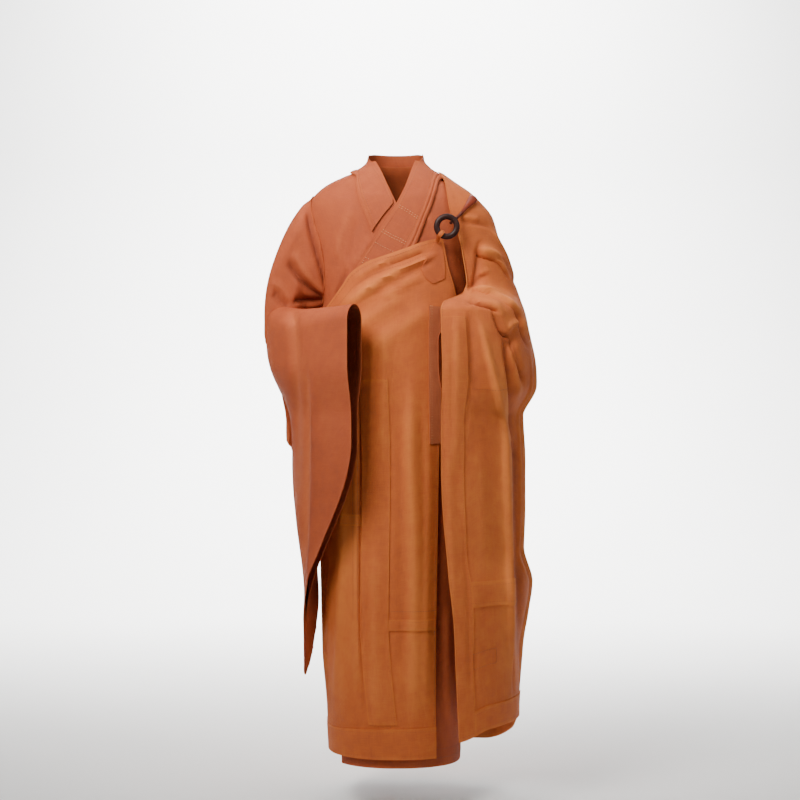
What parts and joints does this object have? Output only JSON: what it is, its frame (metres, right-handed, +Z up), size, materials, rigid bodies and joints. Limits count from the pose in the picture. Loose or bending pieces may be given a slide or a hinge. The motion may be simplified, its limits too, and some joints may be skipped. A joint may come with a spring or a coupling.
{
  "type": "monk robe",
  "caption": "Two-layer monk's robe in worn, hollow form: cross-collared wide-sleeved inner robe and a pieced wrap over one shoulder, held by a ring and hook.",
  "frame": {"origin": "middle of the shoulder line at the base of the neck, inside the neck opening, where the wearer holds the garment up", "axes": "+Z up; the front faces -Y; +X is the wearer's left"},
  "size_m": [0.6368, 0.4449, 1.4405],
  "materials": {
    "robe_cloth": "soft napped cloth, matt",
    "wrap_cloth": "soft napped cloth, matt",
    "dark_horn": "polished dark brown, clear coat",
    "snap_metal": "satin"
  },
  "bodies": {
    "root": {"robe_back": "robe_cloth", "robe_collar_back": "robe_cloth", "robe_collar_left": "robe_cloth", "robe_collar_right": "robe_cloth", "robe_collar_tuck_left_1": "robe_cloth", "robe_collar_tuck_left_2": "robe_cloth", "robe_collar_tuck_right_1": "robe_cloth", "robe_front_left": "robe_cloth", "robe_front_right": "robe_cloth", "robe_sleeve_left": "robe_cloth", "robe_sleeve_right": "robe_cloth", "wrap_back": "wrap_cloth", "wrap_border_fall": "wrap_cloth", "wrap_column_band": "wrap_cloth", "wrap_falling_end": "wrap_cloth", "wrap_folded_strip": "wrap_cloth", "wrap_front": "wrap_cloth", "wrap_hem_band_back": "wrap_cloth", "wrap_hem_band_fall": "wrap_cloth", "wrap_hem_band_front": "wrap_cloth", "wrap_seam_band_fall": "wrap_cloth", "wrap_seam_band_left": "wrap_cloth", "wrap_seam_band_middle": "wrap_cloth", "wrap_shield_patch": "wrap_cloth", "wrap_shoulder": "wrap_cloth", "fastener_tab": "wrap_cloth", "fastener_hook": "dark_horn", "fastener_ring": "dark_horn", "sleeve_snap_1": "snap_metal", "sleeve_snap_2": "snap_metal", "sleeve_snap_3": "snap_metal"}
  },
  "joints": []
}
